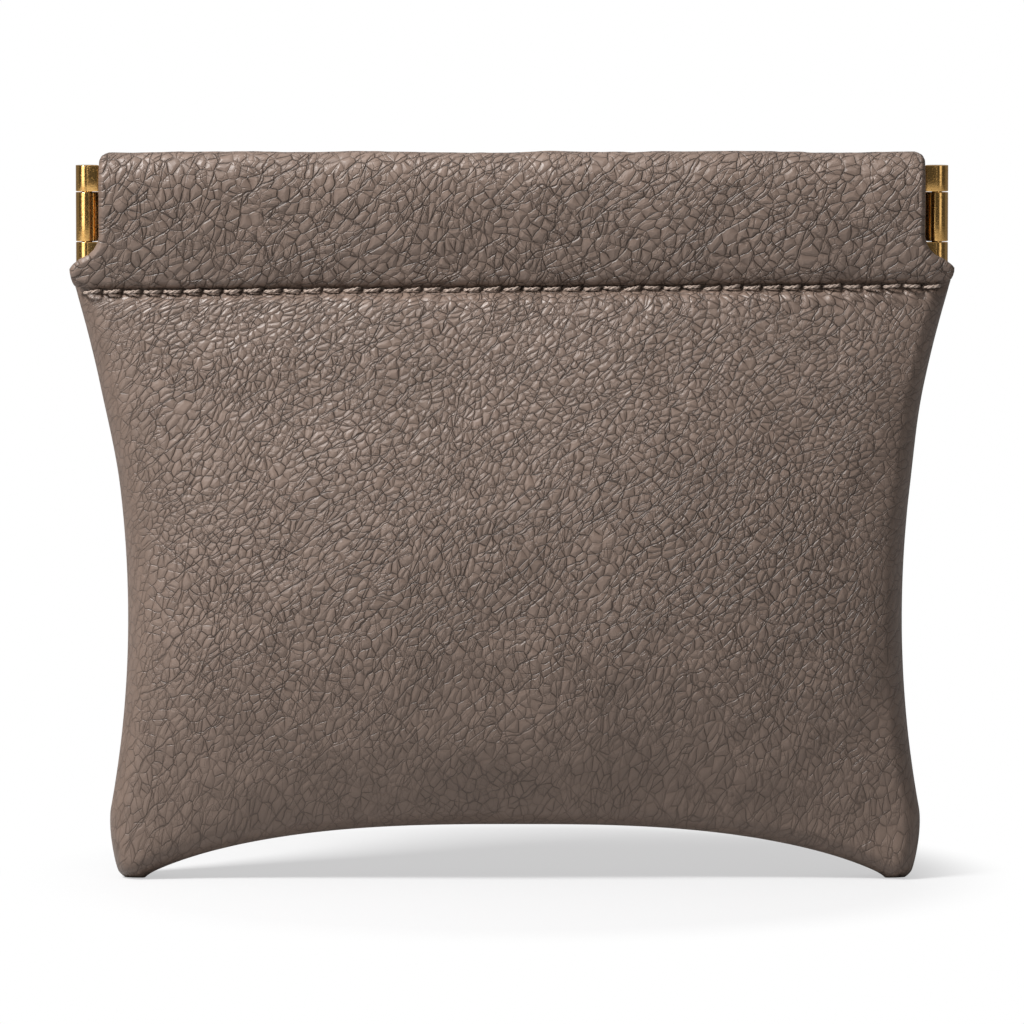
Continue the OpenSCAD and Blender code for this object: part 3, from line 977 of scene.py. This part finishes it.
def make_floor():
    """A white floor for the camera, which keeps the soft shadow and ends in plain white further out.

    What the purse itself sees of it is duller, so that the belly's underside stays dark.
    """
    mesh = bpy.data.meshes.new("floor")
    mesh.from_pydata([(x * FLOOR_HALF, y * FLOOR_HALF, 0)
                      for x, y in ((-1, -1), (1, -1), (1, 1), (-1, 1))], [], [(0, 1, 2, 3)])
    floor = add_object("floor", mesh)
    material = bpy.data.materials.new("floor")
    material.use_nodes = True
    tree = material.node_tree
    tree.nodes.clear()
    shade = Shade(tree)
    seen = shade.node("LightPath")
    matt = shade.node("AddShader", {}, {
        0: shade.node("BsdfDiffuse", {}, {"Color": colour(0.24, 0.24, 0.24)}),
        1: shade.node("Emission", {}, {"Color": colour(1, 0.995, 1), "Strength": 0.52})})
    duller = shade.node("BsdfDiffuse", {}, {"Color": colour(0.42, 0.42, 0.42)})
    white = shade.node("Emission", {}, {"Color": colour(1, 1, 1), "Strength": 1.0})
    place = shade.node("TexCoord", output=3)
    far = shade.node("VectorMath", {"operation": "LENGTH"}, {0: place}, output=1)
    near_or_far = shade.node("MixShader", {}, {0: far.between(0.045, 0.06), 1: matt, 2: white})
    shown = shade.node("MixShader", {}, {0: seen, 1: duller, 2: near_or_far})
    tree.links.new(shown.socket, tree.nodes.new("ShaderNodeOutputMaterial").inputs["Surface"])
    floor.data.materials.append(material)


make_floor()


def make_world():
    """A dim studio, brighter behind and above, with the screens standing in a band of height.

    The camera sees plain white instead.
    """
    world = bpy.data.worlds.new("studio")
    bpy.context.scene.world = world
    world.use_nodes = True
    tree = world.node_tree
    tree.nodes.clear()
    shade = Shade(tree)
    seen = shade.node("LightPath")
    towards = shade.node("SeparateXYZ", {}, {"Vector": shade.node("TexCoord", output=0)})
    x, y, z = (Shade(tree, socket) for socket in towards.socket.node.outputs)
    round_angle = x.math("ARCTAN2", x, y * -1.0) * (180 / math.pi)

    def screen(low, high, soft, power):
        lit = round_angle.between(low - soft, low + soft)
        return lit * (1 - round_angle.between(high - soft, high + soft)) * power

    first, *others = (screen(*numbers) for numbers in SCREENS)
    for other in others:
        first = first + other
    band = z.between(-0.4, -0.2) * (1 - z.between(0.3, 0.55))
    strength = 0.07 + y.between(0.0, 1.0) * 0.2 + z.between(0.2, 0.9) * 0.45 + band * first
    light = shade.node("Background", {}, {"Color": colour(1, 1, 1), "Strength": strength})
    white = shade.node("Background", {}, {"Color": colour(1, 1, 1), "Strength": 1.0})
    both = shade.node("MixShader", {}, {0: seen, 1: light, 2: white})
    tree.links.new(both.socket, tree.nodes.new("ShaderNodeOutputWorld").inputs["Surface"])


make_world()


def make_lamp(name, place, aim, size, power):
    """A soft square lamp at place, turned towards aim, all in metres and watts."""
    data = bpy.data.lights.new(name, "AREA")
    data.shape = "SQUARE"
    data.size = size
    data.energy = power
    lamp = add_object(name, data)
    lamp.location = place
    away = np.array(place, float) - np.array(aim, float)
    flat = math.hypot(away[0], away[1])
    lamp.rotation_euler = (math.atan2(flat, away[2]), 0, math.atan2(away[0], -away[1]))


make_lamp("key", (-0.275, -0.19, 0.46), (0, 0, 0.05), 0.13, 5.3)

# View transform

bpy.context.scene.view_settings.view_transform = "Standard"
